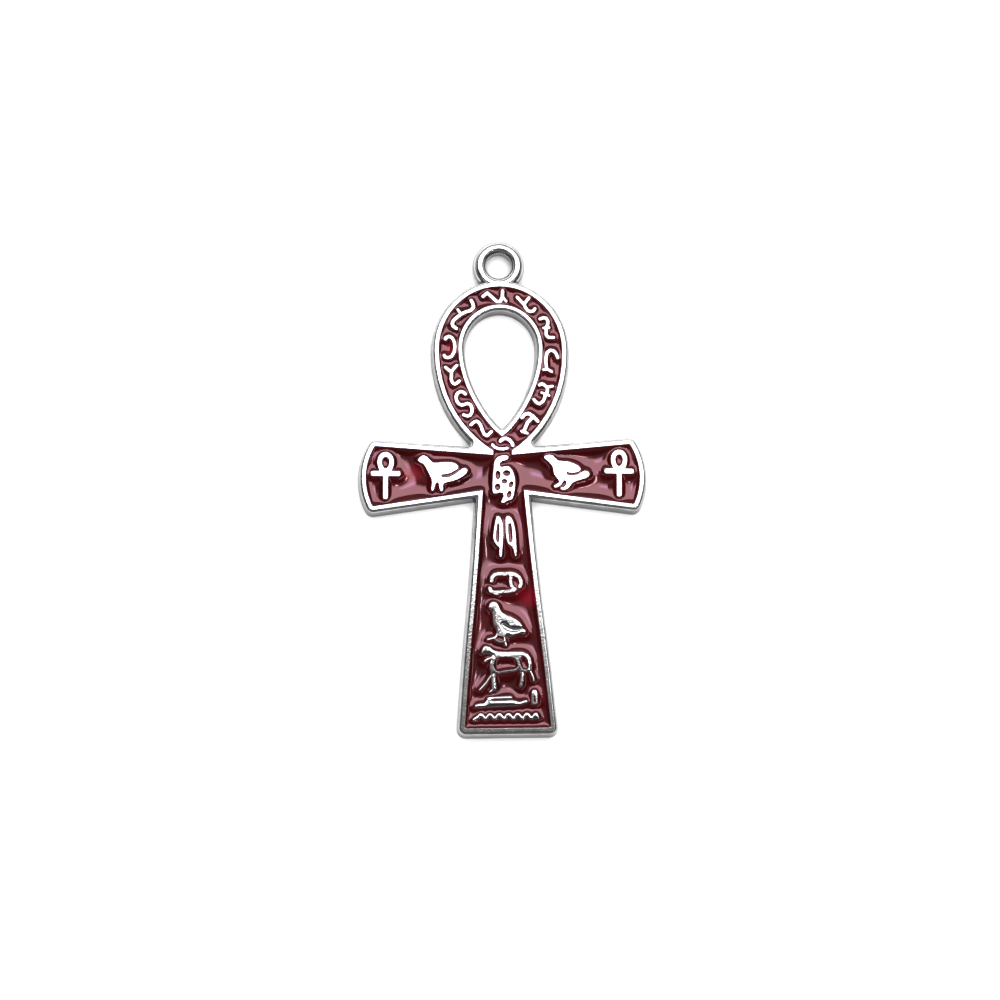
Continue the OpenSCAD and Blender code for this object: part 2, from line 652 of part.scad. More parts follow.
module figures() {
    bird_unit = bird_h / bird_squares;
    reed_unit = reed_size / reed_squares;
    quail_unit = quail_size / quail_squares;
    cat_unit = cat_size / cat_squares;
    post_unit = post_size / post_squares;
    for (place = [left_ankh_place, right_ankh_place])
        figure_at(place)
            difference() {
                ankh_solid();
                ankh_eye();
            }
    figure_at(left_bird_place)
        polygon(charted(BIRD_LEFT, bird_unit));
    figure_at(right_bird_place)
        polygon(charted(BIRD_RIGHT, bird_unit));
    figure_at(spotted_place)
        difference() {
            polygon(charted(SPOTTED, spotted_h / spotted_squares));
            spots();
        }
    figure_at(reed_place)
        for (i = [0:1])
            difference() {
                polygon(charted(REEDS[i], reed_unit));
                polygon(charted(REED_SLOTS[i], reed_unit));
            }
    figure_at(fold_place)
        strokes(FOLD, fold_size / fold_squares);
    figure_at(quail_place) {
        polygon(charted(QUAIL, quail_unit));
        strokes(QUAIL_LEGS, quail_unit);
    }
    figure_at(cat_place) {
        for (p = CAT)
            polygon(charted(p, cat_unit));
        strokes(CAT_STROKES, cat_unit);
    }
    figure_at(tool_place)
        polygon(charted(TOOL, tool_size / tool_squares));
    figure_at(post_place)
        difference() {
            polygon(charted(POST, post_unit));
            polygon(charted(POST_SLOT, post_unit));
        }
    translate(ripple_place)
        ripple();
    for (c = CURLS)
        figure_at(band_point(c[0], c[1], c[2]))
            strokes(c[3], curl_size / curl_squares);
}

// Windows: what lies inside them is a small pool of its own, shut in by a figure
module windows() {
    quail_unit = quail_size / quail_squares;
    cat_unit = cat_size / cat_squares;
    for (place = [left_ankh_place, right_ankh_place])
        figure_at(place)
            ankh_eye();
    figure_at(spotted_place)
        spots();
    figure_at(reed_place)
        for (slot = REED_SLOTS)
            polygon(charted(slot, reed_size / reed_squares));
    figure_at(quail_place)
        polygon(charted(QUAIL_WINDOW, quail_unit));
    figure_at(cat_place)
        for (w = CAT_WINDOWS)
            polygon(charted(w, cat_unit));
    figure_at(post_place)
        polygon(charted(POST_SLOT, post_size / post_squares));
}

// All the pools that the enamel fills, without channels too narrow for it
module pools() {
    offset(delta = pool_soft)
        offset(delta = -pool_soft)
            difference() {
                recess_outline();
                figures();
            }
}

// The body's solid, its wall leaning out towards the back in small steps
module blank() {
    step_h = body_t / wall_steps;
    for (i = [0:wall_steps - 1])
        linear_extrude(body_t - i * step_h)
            offset(delta = wall_lean * i / (wall_steps - 1))
                face_outline();
}

// The teardrop hole, which narrows towards the back as the outer wall widens
module hole_cut() {
    step_h = body_t / wall_steps;
    for (i = [0:wall_steps - 1]) {
        bottom = i == wall_steps - 1 ? -past : body_t - (i + 1) * step_h;
        translate([0, 0, bottom])
            linear_extrude(body_t + past - bottom)
                offset(delta = -wall_lean * i / (wall_steps - 1))
                    offset(r = hole_tip_r, $fn = 24)
                        offset(delta = -hole_tip_r)
                            hole_outline();
    }
}

// The groove under the quail's wing
module groove_cut() {
    translate([0, 0, body_t - groove_depth])
        linear_extrude(groove_depth + past)
            figure_at(quail_place)
                polygon(charted(QUAIL_GROOVE, quail_size / quail_squares));
}

module ring() {
    crest_in = ring_hole_r + ring_crest_at * ring_wire_w;
    crest_out = crest_in + ring_crest_w;
    back_in = (ring_hole_r + ring_r - ring_back_w) / 2;
    back_out = back_in + ring_back_w;
    low = ring_low * body_t;
    high = ring_high * body_t;
    profile = concat(
        [[ring_hole_r / 2, low]],
        bulge([back_in, low], [back_in - ring_hole_r, low], 180),
        bulge([back_out, low], [ring_r - back_out, low], 270),
        bulge([crest_out, high], [ring_r - crest_out, body_t - high], 0),
        bulge([crest_in, high], [crest_in - ring_hole_r, body_t - high], 90),
        [[ring_hole_r / 2, high]]
    );
    translate([0, ring_y])
        rotate_extrude($fn = 72)
            polygon(profile);
}

module casting() {
    color("silver")
        difference() {
            union() {
                blank();
                ring();
            }
            translate([0, ring_y, -past])
                cylinder(body_t + 2 * past, r = ring_hole_r, $fn = 72);
            hole_cut();
            groove_cut();
            translate([0, 0, floor_z])
                linear_extrude(recess_depth + past)
                    pools();
        }
}

module enamel() {
    translate([0, 0, enamel_z])
        linear_extrude(enamel_top - enamel_z)
            offset(delta = -enamel_gap)
                children();
}

module enamel_field() {
    color("darkred")
        enamel()
            difference() {
                pools();
                windows();
            }
}

module enamel_spots() {
    color("firebrick")
        enamel()
            intersection() {
                pools();
                windows();
            }
}

casting();
enamel_field();
enamel_spots();
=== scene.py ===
"""Looks of the ankh pendant: rounded cast metal, enamel that creeps up its walls, floor, light and
camera."""

import math

import bmesh
import bpy
import numpy as np
from mathutils import Matrix, Vector
from mathutils.geometry import delaunay_2d_cdt
from mathutils.kdtree import KDTree


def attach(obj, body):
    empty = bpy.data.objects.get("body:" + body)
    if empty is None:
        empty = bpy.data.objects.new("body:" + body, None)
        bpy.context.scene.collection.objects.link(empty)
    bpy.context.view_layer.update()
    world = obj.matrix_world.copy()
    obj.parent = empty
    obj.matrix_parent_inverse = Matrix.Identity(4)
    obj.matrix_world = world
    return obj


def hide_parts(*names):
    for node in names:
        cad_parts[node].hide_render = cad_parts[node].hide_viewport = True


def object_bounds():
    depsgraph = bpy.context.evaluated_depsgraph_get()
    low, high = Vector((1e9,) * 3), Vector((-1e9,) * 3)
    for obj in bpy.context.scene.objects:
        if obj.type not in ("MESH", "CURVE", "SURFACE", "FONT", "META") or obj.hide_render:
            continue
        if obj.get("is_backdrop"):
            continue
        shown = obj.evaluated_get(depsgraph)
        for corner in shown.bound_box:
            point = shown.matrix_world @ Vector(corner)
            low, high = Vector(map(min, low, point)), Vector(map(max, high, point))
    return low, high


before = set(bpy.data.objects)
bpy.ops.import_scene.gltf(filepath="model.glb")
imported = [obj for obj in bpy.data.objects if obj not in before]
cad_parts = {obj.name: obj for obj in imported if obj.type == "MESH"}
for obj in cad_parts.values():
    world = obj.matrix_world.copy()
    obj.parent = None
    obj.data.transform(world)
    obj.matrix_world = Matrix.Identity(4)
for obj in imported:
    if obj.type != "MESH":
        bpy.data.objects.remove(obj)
cad_low, cad_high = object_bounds()

MM = 0.001  # lengths below are in millimetres, if nothing else is said

# Sizes of the casting, as the part has them
TOP = cad_high.z / MM
RING_Y = 23.5
RING_HOLE_R = 1.3
RING_WIRE = 1.4
RING_CREST = 0.35
RING_CREST_AT = 0.39  # the crest's inner edge, as a share of the ring's thickness from its hole
RING_BACK = 0.6
RING_UPRIGHT = (0.38, 0.58)  # the ring's flanks are upright between these shares of its height
LOOP_TOP = 21.7
ENAMEL_GAP = 0.03

# How the CAD faces are told apart: two heights that count as one, and heights that count as two
SAME_LEVEL = 2e-3
OTHER_LEVEL = 0.1
LEAST_AREA = 0.01
# The teardrop hole is the one of about this area, above this height
HOLE_AREA = 75
HOLE_ABOVE = 5

# Spacing of the points along an outline and their least number, and how far its corners are
# softened, on the pools and on the rims
STEP = 0.075
LEAST_POINTS = 14
SOFTEN = 0.045
RIM_SOFTEN = 0.04
# Rows of points beside an edge, as shares of its rounding, and how much of its distance from its own
# edge a point must keep from the other edges
EDGE_ROWS = (0.3, 0.62, 1.0)
CLEAR = 0.93
# Spacing of the points between the edges, and their least distance from an edge
METAL_LATTICE = (0.3, 0.2)
ENAMEL_LATTICE = (0.14, 0.34)
ENAMEL_ROWS = (0.04, 0.1, 0.18, 0.28)

# Radii of the rounded edges
RIM_EDGE = 0.34
RIM_BULGE = 0.17  # the part of the rim's rounding that lies outside the outline
POOL_EDGE = 0.05
# The outer walls: distances outside the outline on the rounding, then distance and height below it
WALL_BULGE = (0, 0.07, 0.12, 0.155, RIM_BULGE)
WALL = ((0.19, TOP - 0.6), (0.21, TOP * 0.5), (0.26, 0.28), (0.285, 0.14), (0.27, 0.05), (0.2, 0))
# The stem's figures are pillowed: how far their edges fall, how far inwards that reaches, and
# below which height they start
PILLOW_DROP = 0.014
PILLOW_WIDE = 0.15
PILLOW_BELOW = -11.5
# The groove under the quail's wing: its depth, the width of its slope, the rows of points along its
# outline, and how far other points keep from it
GROOVE_DEEP = 0.1
GROOVE_EDGE = 0.18
GROOVE_ROWS = (-0.06, 0, 0.06)
GROOVE_CLEAR = 0.05
# The hanging ring: how far its crest's inner edge lies inside the solid's, how much narrower the
# crest is, and how far it lies below the rims, steps in a quarter of the ring's section, spacing and
# softening of the section's points, and steps round the ring
CREST_INWARDS = 0.04
CREST_TRIM = 0.05
CREST_DROP = 0.004
QUARTER_STEPS = 8
SECTION_STEP = 0.1
SECTION_SOFTEN = 0.05
RING_STEPS = 120
# Where the ring's crest is cut off the outline, beyond its outer edge, and the points of the crown
# that is carried on under it
CREST_CLEAR = 0.02
CROWN_POINTS = 16
# How far the enamel sinks between its walls, and over what length it levels out: a wide sag, and
# the steep creep close to a wall
ENAMEL_SAG = ((0.24, 1.15), (0.12, 0.26))

# Colours
BRIGHT_METAL = ((0.56, 0.55, 0.54), (0.72, 0.71, 0.70))
# Painted shade: a darker copy of the metal's colour for the faces that look sideways
SHADED_FLANK_METAL = ((0.13, 0.12, 0.13), (0.25, 0.24, 0.25))
# Painted shade: the dark, non-metallic colour of the walls' foot
PAINTED_FOOT_SHADE = (0.03, 0.03, 0.03, 1)
METAL_TINT = (0.7, 0.69, 0.68, 1)
BODY_RED = ((0.015, 0.0003, 0.0003), (0.034, 0.0005, 0.0008))
GLOW_RED = (0.14, 0.0006, 0.007, 1)
ENAMEL_TINT = (1.0, 0.49, 0.55, 1)
FLOOR_WHITE = (0.92, 0.92, 0.92, 1)
# The two colours of a cloudy pair stand at these values of its noise
CLOUD_ENDS = (0.35, 0.65)
# Painted shade covers the walls below the first height and thins out up to the second
PAINTED_FOOT_SHADE_HEIGHTS = (0.3, 1.5)
# How much a face looks up where the metal turns from the painted shade of its flanks to bright
LOOKS_UP = (0.15, 0.7)
# Painted glow: where light glows red inside the enamel, painted into its colour: place and reach
RED_GLOWS = ((-5.2, 14.5, 0.8), (-9.3, 1.3, 1.3), (2.35, -11.8, 1.4))

# Lamps are level rectangles, in metres, the first at this height and each next one a little higher,
# because lamps in one plane hide one another
LIGHT_HEIGHT, LIGHT_APART = 0.7, 0.003
WHITE, LILAC = (1, 1, 1), (0.5, 0.5, 1.0)
# Name, its two x, its two y, radiance, width of its soft edge, colour
LAMPS = (
    ("key_softbox", (-0.02, 0.30), (0.118, 0.33), 3.8, 0.012, WHITE),
    ("key_softbox_left", (-0.20, -0.008), (0.165, 0.33), 3.8, 0.012, WHITE),
    ("edge_glint", (0.09, 0.13), (0.096, 0.112), 25.0, 0.005, WHITE),
    ("overhead_glow", (-0.25, 0.25), (0.04, 0.16), 0.27, 0.05, WHITE),
    ("far_glow", (-0.6, 0.6), (0.35, 1.1), 0.3, 0.05, WHITE),
    ("back_glow", (-2.0, 2.0), (1.05, 4.0), 1.7, 0.3, WHITE),
    ("front_glow", (-1.0, 1.0), (-2.0, -0.1), 0.12, 0.1, WHITE),
    ("lilac_glint", (-0.025, 0.07), (0.142, 0.184), 7.0, 0.021, LILAC),
    ("right_strip", (0.30, 0.36), (-0.25, 0.10), 4.0, 0.02, WHITE),
    ("left_strip", (-0.30, -0.25), (-0.25, 0.05), 3.0, 0.02, WHITE),
    ("front_spot", (0.20, 0.24), (-0.24, -0.20), 30.0, 0.015, WHITE),
    ("fill", (-0.6, 0.6), (-0.6, 0.6), 3.0, 0.05, WHITE),
)
UNMIRRORED = ("fill",)
# The room beyond the lamps: its colour, its light, and what it gains low down and behind, each by
# the direction's part along an axis, as two directions and the two values there
ROOM_COLOUR = (0.9, 0.92, 0.95, 1)
ROOM_LIGHT = 0.05
ROOM_GAINS = (("Z", 0.5, 0.68, 0.55, 0.0), ("Y", -0.4, 0.4, 0.06, 1.0))

# The photo's view: angles in radians, the turn being about the line of sight, distance, and where
# the target lies from the picture's middle, in metres
AZIMUTH, ELEVATION, ROLL = math.radians(-14), math.radians(77.8), math.radians(1.137)
DISTANCE, ACROSS, UP = 400 * MM, 0.29 * MM, 1.41 * MM
TARGET = Vector((0, 0, 1.0 * MM))
LENS = 139.1
CLIP = (0.01, 10)
# The floor's size and how far it lies below the part, in metres
FLOOR_SIZE, FLOOR_BELOW = 4, 0.00002


# Reading the flat faces of a CAD node
def triangles(node):
    """A CAD node's points, each once, and its triangles."""
    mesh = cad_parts[node].data
    mesh.calc_loop_triangles()
    co = np.empty(len(mesh.vertices) * 3, np.float32)
    mesh.vertices.foreach_get("co", co)
    tri = np.empty(len(mesh.loop_triangles) * 3, np.int32)
    mesh.loop_triangles.foreach_get("vertices", tri)
    points = co.reshape(-1, 3).astype(float) / MM
    key = np.round(points * 1e4).astype(np.int64)
    _, first, back = np.unique(key, axis=0, return_index=True, return_inverse=True)
    return points[first], back.reshape(-1)[tri].reshape(-1, 3)


def upwards(corner):
    """The upward part of each triangle's normal."""
    return np.cross(corner[:, 1] - corner[:, 0], corner[:, 2] - corner[:, 0])[:, 2]


def flat_loops(points, tri, height):
    """Outlines of the faces at that height that look up, as lists of points."""
    corner = points[tri]
    flat = (np.abs(corner[:, :, 2] - height) < SAME_LEVEL).all(1) & (upwards(corner) > 0)
    edges = {(a, b) for t in tri[flat].tolist() for a, b in zip(t, t[1:] + t[:1])}
    onward = {}
    for a, b in edges:
        if (b, a) not in edges:
            onward.setdefault(a, []).append(b)
    loops = []
    while onward:
        start = next(iter(onward))
        line, at = [], start
        while at in onward:
            line.append(at)
            following = onward[at].pop()
            if not onward[at]:
                del onward[at]
            at = following
            if at == start:
                break
        if len(line) > 3:
            loops.append(points[line][:, :2])
    return loops


def area(loop):
    """An outline's area, negative where it runs clockwise."""
    x, y = loop.T
    return 0.5 * float(np.sum(x * np.roll(y, -1) - np.roll(x, -1) * y))


def softened(loop, step=STEP, width=SOFTEN):
    """A closed outline at even steps, its corners rounded off."""
    closed = np.r_[loop, loop[:1]]
    s = np.r_[0, np.cumsum(np.hypot(*np.diff(closed, axis=0).T))]
    count = max(LEAST_POINTS, int(round(s[-1] / step)))
    t = np.arange(count) * s[-1] / count
    wave = np.fft.fft(np.interp(t, s, closed[:, 0]) + 1j * np.interp(t, s, closed[:, 1]))
    k = 2 * np.pi * np.fft.fftfreq(count, d=s[-1] / count)
    wave = np.fft.ifft(wave * np.exp(-0.5 * (k * width) ** 2))
    return np.c_[wave.real, wave.imag]


def sideways(loop):
    """Unit normals of a closed outline, to the right of its way, so outwards where it runs
    anticlockwise."""
    along = np.roll(loop, -1, 0) - np.roll(loop, 1, 0)
    along /= np.hypot(*along.T)[:, None]
    return np.c_[along[:, 1], -along[:, 0]]


def distances(points, loops):
    """Distance of each point from the nearest outline, and that outline's number."""
    line = np.concatenate(loops)
    ahead = np.concatenate([np.roll(loop, -1, 0) for loop in loops])
    behind = np.concatenate([np.roll(loop, 1, 0) for loop in loops])
    number = np.concatenate([np.full(len(loop), i) for i, loop in enumerate(loops)])
    tree = KDTree(len(line))
    for i, p in enumerate(line.tolist()):
        tree.insert((p[0], p[1], 0), i)
    tree.balance()
    near = np.array([tree.find((x, y, 0))[1] for x, y in points.tolist()], int)
    best = np.full(len(points), np.inf)
    for end in (ahead, behind):
        a, d = line[near], end[near] - line[near]
        share = np.clip(((points - a) * d).sum(1) / (d * d).sum(1), 0, 1)
        best = np.minimum(best, np.hypot(*(points - a - share[:, None] * d).T))
    return best, number[near]


def fill(loops, inner=()):
    """Points and triangles between the outlines, inside an odd number of them. The outlines' own
    points come first, in order."""
    points = np.concatenate([*loops, *inner])
    faces, start = [], 0
    for loop in loops:
        around = list(range(start, start + len(loop)))
        faces.append(around if area(loop) > 0 else around[::-1])
        start += len(loop)
    made = delaunay_2d_cdt([Vector(p) for p in points.tolist()], [], faces, 1, 1e-7)
    kept = [list(t) for t, of in zip(made[2], made[5]) if len(of) % 2 == 1]
    return np.array([tuple(v) for v in made[0]]), np.array(kept, int)


def lattice(loops, step):
    """Points of a triangular lattice over the outlines' box."""
    low = np.min([loop.min(0) for loop in loops], 0)
    high = np.max([loop.max(0) for loop in loops], 0)
    xs = np.arange(low[0], high[0], step)
    ys = np.arange(low[1], high[1], step * math.sqrt(0.75))
    grid = np.stack(np.meshgrid(xs, ys), -1)
    grid[1::2, :, 0] += step / 2
    return grid.reshape(-1, 2)


def inside(points, loops):
    """Whether each point lies inside an odd number of outlines."""
    odd = np.zeros(len(points), bool)
    x, y = points.T
    for loop in loops:
        low, high = loop.min(0), loop.max(0)
        near = np.nonzero((x > low[0]) & (x < high[0]) & (y > low[1]) & (y < high[1]))[0]
        if not len(near):
            continue
        px, py = x[near], y[near]
        hits = np.zeros(len(near), int)
        for (ax, ay), (bx, by) in zip(loop.tolist(), np.roll(loop, -1, 0).tolist()):
            cross = (ay > py) != (by > py)
            if cross.any():
                at = ax + (py - ay) * (bx - ax) / (by - ay + 1e-30)
                hits += cross & (px < at)
        odd[near] ^= hits % 2 == 1
    return odd


def beside(loops, rows):
    """Points at the given distances along the outlines' normals, without those that come too near
    another edge. Rows name the outline, the way and the distance."""
    points = np.concatenate([loops[i] + side * depth * sideways(loops[i]) for i, side, depth in rows])
    wanted = np.concatenate([np.full(len(loops[i]), depth) for i, _, depth in rows])
    return points[distances(points, loops)[0] > CLEAR * wanted]


def spread_out(loops, step, clear):
    """Lattice points that keep clear of the outlines."""
    points = lattice(loops, step)
    return points[distances(points, loops)[0] > clear]


def at_height(points, z):
    return np.c_[points, np.broadcast_to(z, len(points))]


def rounding(radius, inwards):
    """How far a rounded edge has fallen, by the distance inwards from its outermost point."""
    return radius * (1 - np.sqrt(1 - (1 - np.minimum(inwards / radius, 1)) ** 2))


class Shell:
    """Points and faces of one piece."""

    def __init__(self):
        self.points, self.faces, self.count = [], [], 0

    def add(self, points, faces):
        self.points.append(np.asarray(points, float))
        self.faces += (np.asarray(faces, int) + self.count).tolist()
        self.count += len(points)

    def strip(self, rows, outward=True):
        """Closed rows of points, joined by quads."""
        n = len(rows[0])
        i = np.arange(n)
        j = np.roll(i, -1)
        faces = []
        for r in range(len(rows) - 1):
            quad = np.c_[r * n + i, (r + 1) * n + i, (r + 1) * n + j, r * n + j]
            faces.append(quad if outward else quad[:, ::-1])
        self.add(np.concatenate(rows), np.concatenate(faces))

    def take(self, other):
        """Adds another shell's points and faces."""
        start = self.count
        self.points += other.points
        self.faces += [[v + start for v in face] for face in other.faces]
        self.count += other.count

    def build(self, name, material, slot_name):
        """Makes the piece, which rides on the root."""
        mesh = bpy.data.meshes.new(name)
        mesh.from_pydata((np.concatenate(self.points) * MM).tolist(), [], self.faces)
        mesh.validate()
        obj = bpy.data.objects.new(name, mesh)
        bpy.context.scene.collection.objects.link(obj)
        bm = bmesh.new()
        bm.from_mesh(mesh)
        bmesh.ops.remove_doubles(bm, verts=bm.verts, dist=1e-7)
        bmesh.ops.recalc_face_normals(bm, faces=bm.faces)
        bm.to_mesh(mesh)
        bm.free()
        mesh.shade_smooth()
        mesh.materials.append(material)
        # The level tops shade as level up to where they begin to round off. Zero leaves a normal as is.
        mesh.normals_split_custom_set_from_vertices(
            [(0, 0, 1 if v.co.z > (TOP - 1e-4) * MM else 0) for v in mesh.vertices]
        )
        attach(obj, "root")
        return obj


# Outlines of the casting
points, tri = triangles("casting")
corner = points[tri]
height = corner[:, 0, 2]
level = (np.ptp(corner[:, :, 2], axis=1) < SAME_LEVEL) & (upwards(corner) > 0)
level &= height < TOP - OTHER_LEVEL
FLOOR = float(np.median(height[level]))
GROOVE_FLOOR = float(np.max(height[level & (height > FLOOR + OTHER_LEVEL)]))
pools = [softened(loop) for loop in flat_loops(points, tri, FLOOR) if abs(area(loop)) > LEAST_AREA]
grooves = [softened(loop) for loop in flat_loops(points, tri, GROOVE_FLOOR) if area(loop) > LEAST_AREA]
tops = flat_loops(points, tri, TOP)
outline = max(tops, key=area)
holes = [loop for loop in tops if area(loop) < 0 and loop[:, 1].mean() > HOLE_ABOVE]
hole = min(holes, key=lambda loop: abs(area(loop) + HOLE_AREA))

# The hanging ring's crest is cut off the outline, and the loop's crown carried on under it
crest_at = RING_HOLE_R + RING_WIRE * RING_CREST_AT
off_ring = np.hypot(outline[:, 0], outline[:, 1] - RING_Y) > crest_at + RING_CREST + CREST_CLEAR
start = int(np.argmax(~off_ring & np.roll(off_ring, 1)))
order = np.roll(np.arange(len(outline)), -start)
kept = outline[[i for i in order if off_ring[i]]]
bend = (LOOP_TOP - kept[-1, 1]) / kept[-1, 0] ** 2
xs = np.linspace(kept[-1, 0], kept[0, 0], CROWN_POINTS)[1:-1]
outline = np.r_[kept, np.c_[xs, LOOP_TOP - bend * xs**2]]
if area(outline) < 0:
    outline = outline[::-1]
outline = softened(outline, width=RIM_SOFTEN)
hole = softened(hole, width=RIM_SOFTEN)
if area(hole) < 0:
    hole = hole[::-1]

# The face of the metal: rims and figures with rounded edges, the quail's groove
edges = [outline, hole, *pools]
radius = np.array([RIM_EDGE, RIM_EDGE] + [POOL_EDGE] * len(pools))
bulge = np.array([RIM_BULGE, RIM_BULGE] + [0] * len(pools))
rows = [
    (i, side, (radius[i] - bulge[i]) * share)
    for i in range(len(edges))
    for share in EDGE_ROWS
    for side in (-1, 1)
]
candidates = np.r_[beside(edges, rows), spread_out(edges, *METAL_LATTICE)]
candidates = candidates[inside(candidates, edges)]
candidates = candidates[distances(candidates, grooves)[0] > GROOVE_CLEAR]
for depth in GROOVE_ROWS:
    candidates = np.r_[candidates, *[loop + depth * sideways(loop) for loop in grooves]]
flat, faces = fill(edges, [candidates])
d, which = distances(flat, edges)
sunk = rounding(radius[which], bulge[which] + d)
figure = np.array([area(loop) < 0 and loop[:, 1].mean() < PILLOW_BELOW for loop in edges])
sunk += np.where(figure[which], PILLOW_DROP * (1 - np.minimum(d / PILLOW_WIDE, 1)) ** 2, 0)
d, _ = distances(flat, grooves)
inward = np.where(inside(flat, grooves), d, -d)
sunk += GROOVE_DEEP * np.clip(0.5 + 0.5 * inward / GROOVE_EDGE, 0, 1)
metal = Shell()
metal.add(at_height(flat, TOP - sunk), faces)

# The figures' and rims' inner walls, the sunk floor, the outer walls and the back
for loop in pools:
    metal.strip([at_height(loop, TOP - POOL_EDGE), at_height(loop, FLOOR)])
floor_points, floor_faces = fill(pools)
metal.add(at_height(floor_points, FLOOR), floor_faces)
wall = [(out, TOP - float(rounding(RIM_EDGE, RIM_BULGE - out))) for out in WALL_BULGE] + list(WALL)
for loop, sign in ((outline, 1), (hole, -1)):
    metal.strip([at_height(loop + sign * out * sideways(loop), z) for out, z in wall])
foot_out = WALL[-1][0]
foot_lines = [outline + foot_out * sideways(outline), hole - foot_out * sideways(hole)]
back_points, back_faces = fill(foot_lines)
metal.add(at_height(back_points, 0), back_faces[:, ::-1])

# The hanging ring, a rounded bead turned about its own axis
crest_in = crest_at - CREST_INWARDS
crest_out = crest_in + RING_CREST - CREST_TRIM
ring_r = RING_HOLE_R + RING_WIRE
low, high = (share * TOP for share in RING_UPRIGHT)
back_in = RING_HOLE_R + (RING_WIRE - RING_BACK) / 2
back_out = back_in + RING_BACK
section = []
for start_angle, cx, cz, half_x, half_z in (
    (0, crest_out, high, ring_r - crest_out, TOP - high),
    (90, crest_in, high, crest_in - RING_HOLE_R, TOP - high),
    (180, back_in, low, back_in - RING_HOLE_R, low),
    (270, back_out, low, ring_r - back_out, low),
):
    for step in range(QUARTER_STEPS + 1):
        angle = math.radians(start_angle + step * 90 / QUARTER_STEPS)
        section.append((cx + half_x * math.cos(angle), cz + half_z * math.sin(angle)))
section = softened(np.array(section), step=SECTION_STEP, width=SECTION_SOFTEN)
turn = np.linspace(0, 2 * np.pi, RING_STEPS, endpoint=False)
rows = [
    at_height(np.c_[x * np.cos(turn), RING_Y + x * np.sin(turn)], min(z, TOP - CREST_DROP))
    for x, z in section
]
metal.strip(rows + rows[:1])


def enamel_shell(loops):
    """The enamel in some pools: its surface is pinned to the walls and sinks between them."""
    rows = [(i, -1, depth) for depth in ENAMEL_ROWS for i in range(len(loops))]
    p = np.r_[beside(loops, rows), spread_out(loops, *ENAMEL_LATTICE)]
    flat, faces = fill(loops, [p[inside(p, loops)]])
    pinned = distances(flat, loops)[0] < 1e-4
    z = np.full(len(flat), TOP - POOL_EDGE)
    for dip, reach in ENAMEL_SAG:
        z -= dip * (1 - levelled(flat, faces, pinned, reach))
    shell = Shell()
    shell.add(at_height(flat, z), faces)
    low = FLOOR + ENAMEL_GAP
    for loop in loops:
        shell.strip([at_height(loop, TOP - POOL_EDGE), at_height(loop, low)], outward=False)
    under, under_faces = fill(loops)
    shell.add(at_height(under, low), under_faces[:, ::-1])
    return shell


def levelled(p, tri, pinned, reach):
    """1 at the walls, falling to 0 away from them as a liquid's surface does: the screened Laplace
    equation on the triangles, by conjugate gradients."""
    i, j, k = tri.T
    rows, cols, weights = [], [], []
    for a, b, c in ((i, j, k), (j, k, i), (k, i, j)):
        u, v = p[a] - p[c], p[b] - p[c]
        cot = 0.5 * (u * v).sum(1) / np.maximum(np.abs(u[:, 0] * v[:, 1] - u[:, 1] * v[:, 0]), 1e-9)
        rows += [a, b]
        cols += [b, a]
        weights += [cot, cot]
    rows, cols, weights = map(np.concatenate, (rows, cols, weights))
    u, v = p[j] - p[i], p[k] - p[i]
    third = np.abs(u[:, 0] * v[:, 1] - u[:, 1] * v[:, 0]) / 6
    n = len(p)
    mass = sum(np.bincount(c, third, n) for c in (i, j, k))
    diagonal = np.bincount(rows, weights, n) + mass / reach**2

    def apply(x):
        return diagonal * x - np.bincount(rows, weights * x[cols], n)

    free = ~pinned
    x = pinned.astype(float)
    r = -apply(x) * free
    z = r / diagonal
    q, rz = z.copy(), float(r @ z)
    for _ in range(600):
        aq = apply(q) * free
        step = rz / float(q @ aq)
        x += step * q
        r -= step * aq
        z = r / diagonal
        new = float(r @ z)
        if new < 1e-16:
            break
        q, rz = z + new / rz * q, new
    return x


# Materials
def feed(tree, socket, value):
    """Sets a socket, or links another node's output to it."""
    if isinstance(value, bpy.types.NodeSocket):
        tree.links.new(value, socket)
    else:
        socket.default_value = value


def material_of(name):
    m = bpy.data.materials.new(name)
    m.use_nodes = True
    return m, m.node_tree, m.node_tree.nodes["Principled BSDF"]


def noise(tree, scale, detail, rough):
    at = tree.nodes.new("ShaderNodeTexCoord")
    node = tree.nodes.new("ShaderNodeTexNoise")
    node.inputs["Scale"].default_value = scale
    node.inputs["Detail"].default_value = detail
    node.inputs["Roughness"].default_value = rough
    tree.links.new(at.outputs["Object"], node.inputs["Vector"])
    return node.outputs["Fac"]


def parts_of(tree, vector):
    """A vector's X, Y and Z."""
    node = tree.nodes.new("ShaderNodeSeparateXYZ")
    tree.links.new(vector, node.inputs["Vector"])
    return node.outputs


def ramped(tree, value, from_low, from_high, to_low=0, to_high=1, smooth=False):
    """A value carried from one range to another, and held at its ends."""
    node = tree.nodes.new("ShaderNodeMapRange")
    if smooth:
        node.interpolation_type = "SMOOTHSTEP"
    tree.links.new(value, node.inputs["Value"])
    ends = (("From Min", from_low), ("From Max", from_high), ("To Min", to_low), ("To Max", to_high))
    for key, end in ends:
        node.inputs[key].default_value = end
    return node.outputs["Result"]


def calculated(tree, operation, *values, kind="ShaderNodeMath"):
    node = tree.nodes.new(kind)
    node.operation = operation
    for socket, value in zip(node.inputs, values):
        feed(tree, socket, value)
    return node.outputs["Value"]


def cloudy(tree, value, pair):
    """A colour between the two of a pair."""
    ramp = tree.nodes.new("ShaderNodeValToRGB")
    for element, at, rgb in zip(ramp.color_ramp.elements, CLOUD_ENDS, pair):
        element.position = at
        element.color = (*rgb, 1)
    tree.links.new(value, ramp.inputs["Fac"])
    return ramp.outputs["Color"]


def blended(tree, share, first, second):
    """The first colour where the share is 0, and the second where it is 1."""
    node = tree.nodes.new("ShaderNodeMix")
    node.data_type = "RGBA"
    for key, value in (("Factor", share), ("A", first), ("B", second)):
        feed(tree, node.inputs[key], value)
    return node.outputs["Result"]


